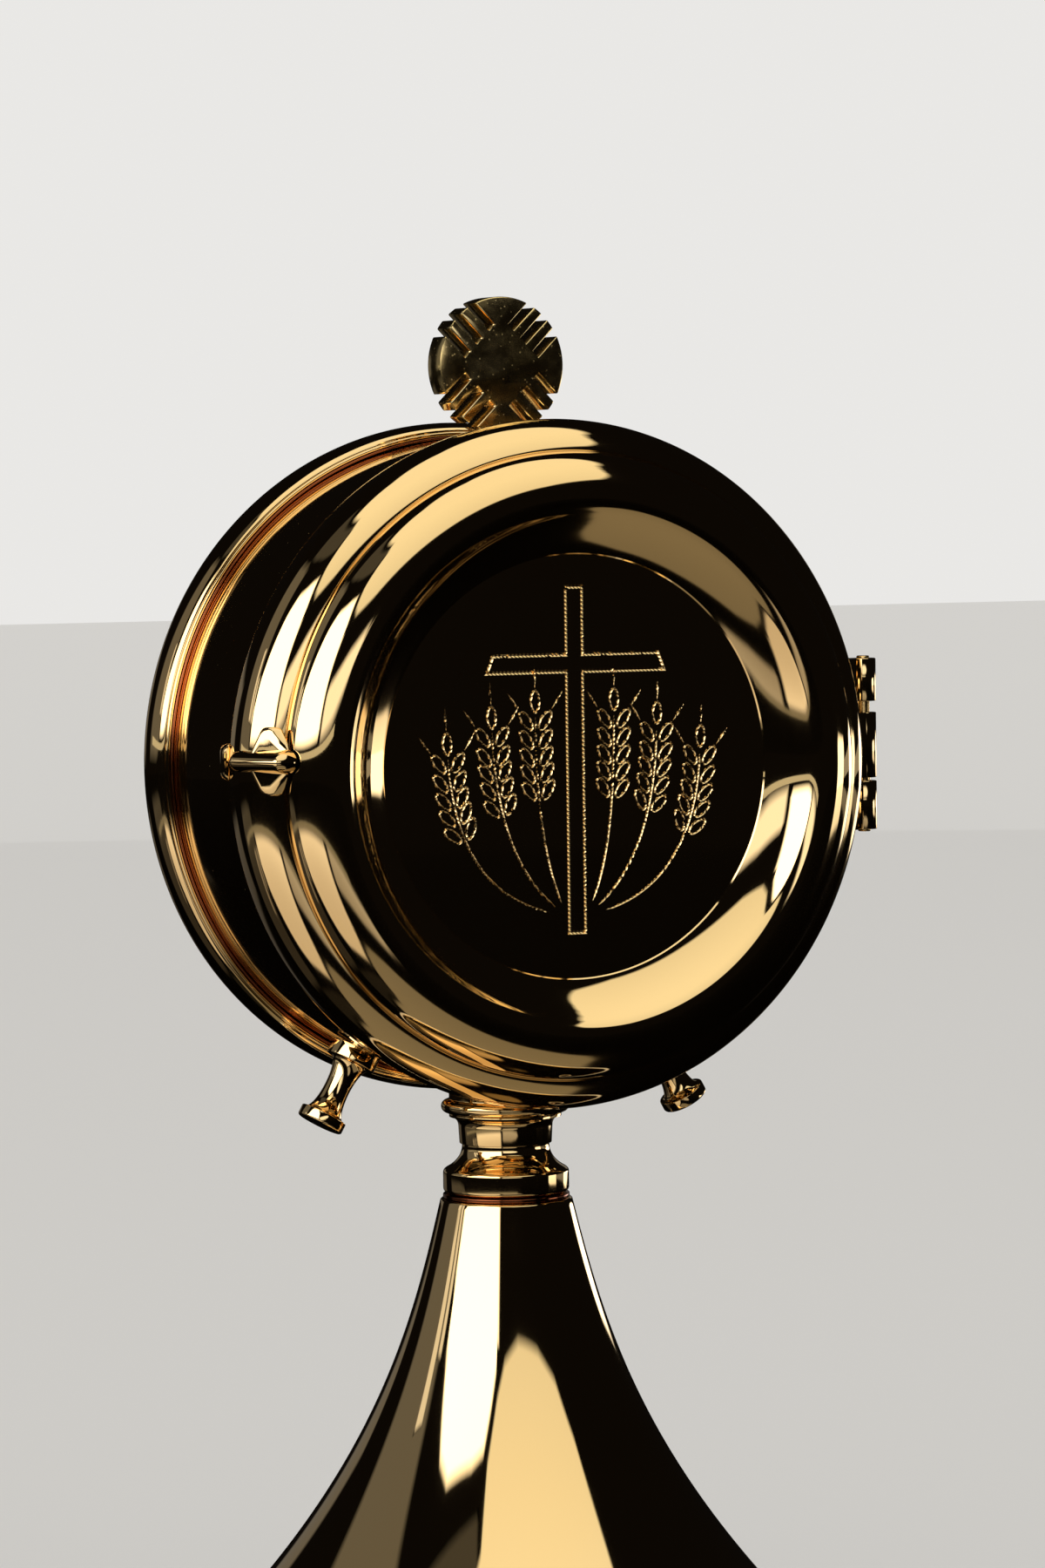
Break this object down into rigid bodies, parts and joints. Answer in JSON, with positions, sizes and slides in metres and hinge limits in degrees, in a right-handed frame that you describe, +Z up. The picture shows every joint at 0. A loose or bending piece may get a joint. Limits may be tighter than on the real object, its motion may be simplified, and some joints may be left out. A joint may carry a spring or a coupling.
{
  "type": "luna holder",
  "caption": "Round mirror-polished gilt case on a trumpet foot, with a hinged front lid over a grooved cradle that holds a luna upright.",
  "frame": {"origin": "centre of the foot's underside, on the surface that it stands on", "axes": "+Z up along the stem; the lid faces -Y and its hinge is at +X"},
  "size_m": [0.1048, 0.1048, 0.1819],
  "materials": {
    "gilt": "mirror-polished gold plate",
    "gilt_satin": "satin gold plate",
    "copper": "polished, copper-toned",
    "steel": "plain machined"
  },
  "bodies": {
    "case": {"trumpet_foot": "gilt", "foot_base_ring": "gilt_satin", "step_washer": "copper", "stem_collar": "gilt", "drum_saddle": "gilt", "case_bolt": "steel", "clamp_washer": "steel", "clamp_nut": "steel", "drum_wall": "gilt", "mouth_ring": "gilt", "back_lip_wire": "copper", "back_cover": "gilt", "back_rim_ring": "gilt", "luna_cradle": "gilt_satin", "peg_left": "gilt", "peg_right": "gilt", "finial_disc": "gilt_satin", "finial_stud": "gilt", "catch_lug": "gilt", "case_hinge_leaf": "gilt", "hinge_pin": "gilt_satin"},
    "lid": {"lid_shell": "gilt", "lid_rim_ring": "gilt", "thumb_tab": "gilt", "lid_hinge_leaf": "gilt"}
  },
  "joints": [
    {"name": "lid_hinge", "type": "hinge", "parent": "case", "child": "lid", "pos_m": [0.0448, -0.0122, 0.1256], "axis": [0, 0, 1], "range_deg": [0, 110]}
  ]
}
